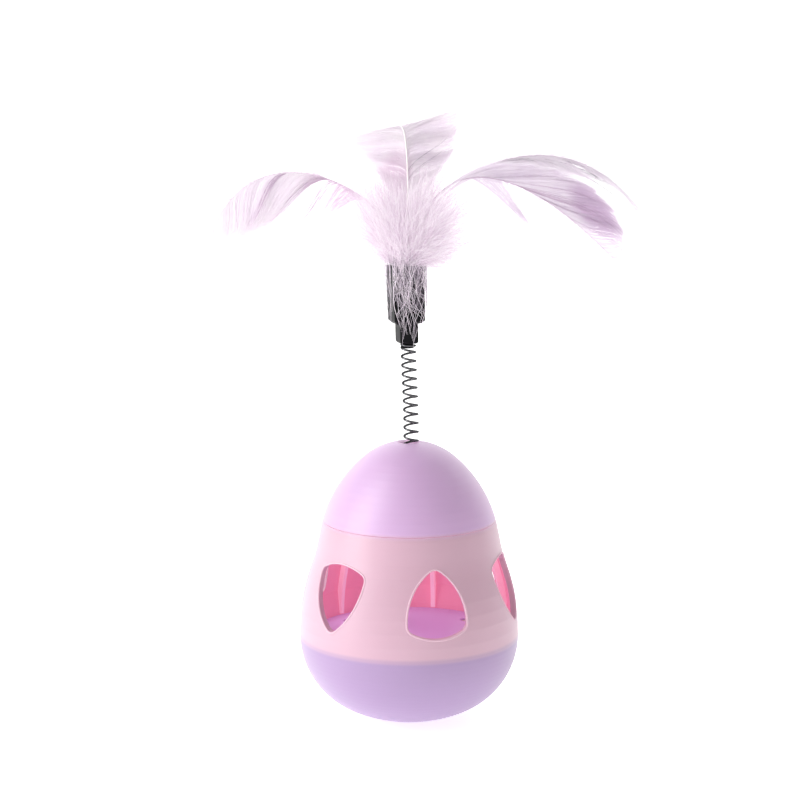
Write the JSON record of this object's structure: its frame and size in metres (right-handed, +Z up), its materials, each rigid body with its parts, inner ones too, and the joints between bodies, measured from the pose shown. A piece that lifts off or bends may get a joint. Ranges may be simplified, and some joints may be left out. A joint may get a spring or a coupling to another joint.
{
  "type": "tumbler cat toy",
  "caption": "Weighted egg-shaped cat toy that rights itself, with rounded-triangle windows and a feather plume on a wire spring on top.",
  "frame": {"origin": "middle of the small flat foot under the egg", "axes": "+Z up through the egg, the spring and the plume; -Y is the front, so +X is to the viewer's right"},
  "size_m": [0.1528, 0.0953, 0.2232],
  "materials": {
    "lilac_plastic": "satin",
    "pink_plastic": "satin",
    "ballast_steel": "turned",
    "screw_steel": "zinc plated",
    "spring_wire": "bright",
    "black_plastic": "gloss",
    "glue": "waxy",
    "feather": "soft",
    "down": "fluffy"
  },
  "bodies": {
    "egg": {"base_bowl": "lilac_plastic", "ballast_weight": "ballast_steel", "ballast_washer": "screw_steel", "ballast_screw": "screw_steel", "deck": "lilac_plastic", "deck_screws": "screw_steel", "middle_ring": "pink_plastic"},
    "cover": {"top_cover": "lilac_plastic", "spring_anchor": "lilac_plastic", "anchor_screws": "screw_steel"},
    "spring_middle": {"spring": "spring_wire"},
    "feather_head": {"spring_plug": "black_plastic", "feather_socket": "black_plastic", "quill_glue": "glue", "feather_left": "feather", "feather_right": "feather", "feather_right_rear": "feather", "feather_back": "feather", "tuft_front": "down", "tuft_front_left": "down", "tuft_front_right": "down", "tuft_rear_left": "down", "tuft_rear_right": "down"}
  },
  "joints": [
    {"name": "cover_twist", "type": "hinge", "parent": "egg", "child": "cover", "pos_m": [0, 0, 0.07373], "axis": [0, 0, 1], "range_deg": [0, 30]},
    {"name": "sway_side", "type": "hinge", "parent": "cover", "child": "spring_middle", "pos_m": [0, 0, 0.1118], "axis": [0, 1, 0], "range_deg": [-45, 45], "stiffness_Nm_per_rad": 0.0118, "deforming": ["spring"]},
    {"name": "sway_fore", "type": "hinge", "parent": "spring_middle", "child": "feather_head", "pos_m": [0, 0, 0.1295], "axis": [1, 0, 0], "range_deg": [-45, 45], "stiffness_Nm_per_rad": 0.0118}
  ]
}
